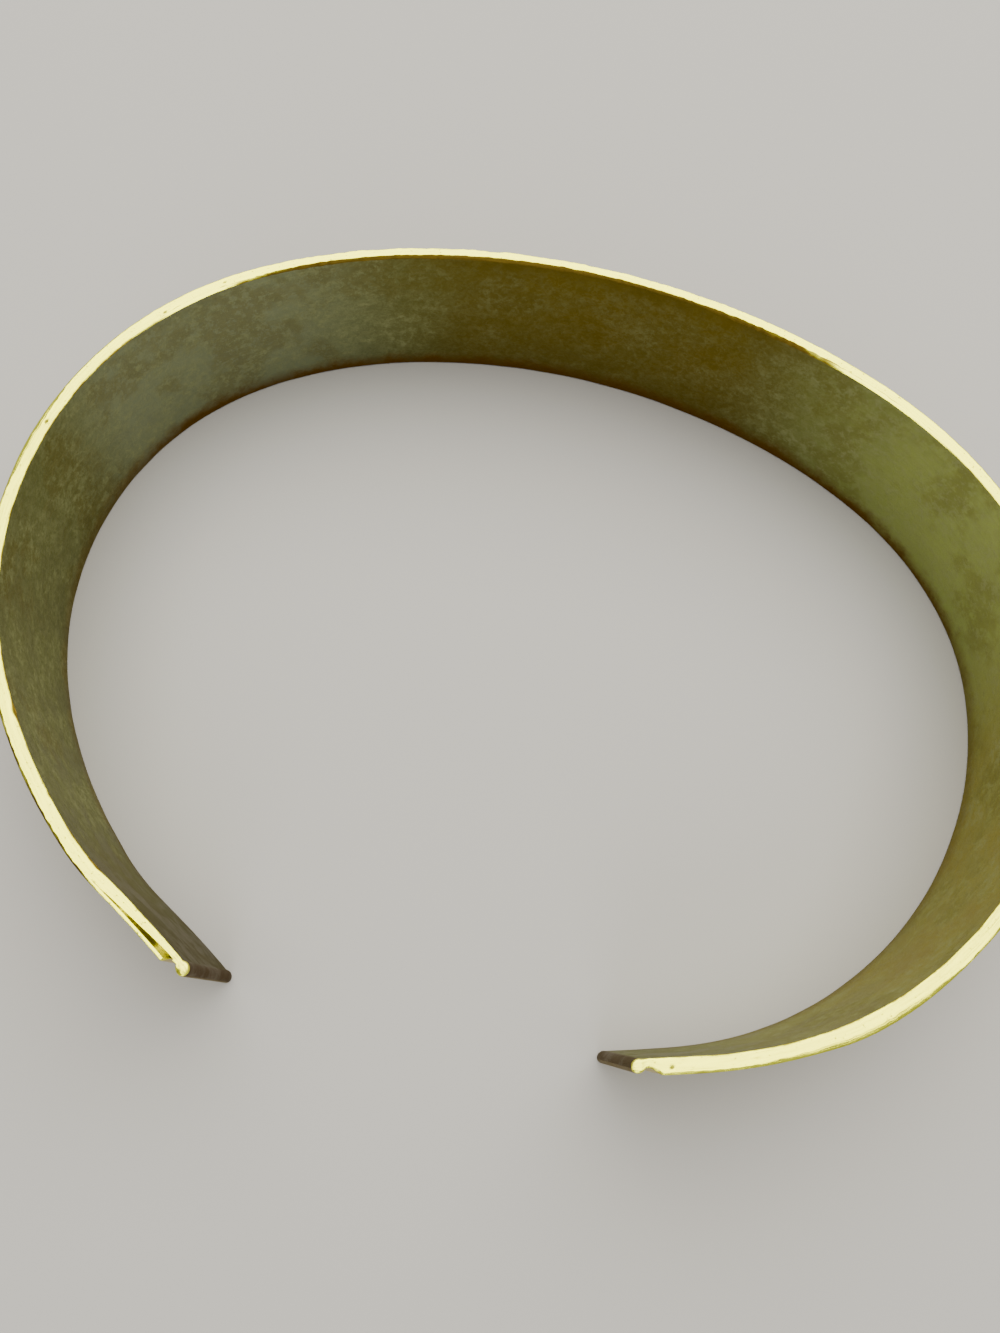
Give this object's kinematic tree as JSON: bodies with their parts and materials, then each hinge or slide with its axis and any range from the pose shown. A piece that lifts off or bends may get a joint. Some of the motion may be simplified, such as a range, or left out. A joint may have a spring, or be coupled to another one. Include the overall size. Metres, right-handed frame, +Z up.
{
  "type": "cuff bracelet",
  "caption": "Open C-shaped cuff of plain tarnished brass strip, lying on one filed edge, with a rounded lip across each end and a gap for the wrist.",
  "frame": {"origin": "under the middle of the cuff, on the surface that its lower rim rests on", "axes": "+X across the cuff's width, +Y towards its back, so the mouth faces -Y, +Z up along the way the wrist goes through"},
  "size_m": [0.0624, 0.0474, 0.0111],
  "materials": {
    "brass": "satin brass, tarnished olive inside, with bright filed rims"
  },
  "bodies": {
    "root": {"cuff_band": "brass"}
  },
  "joints": []
}
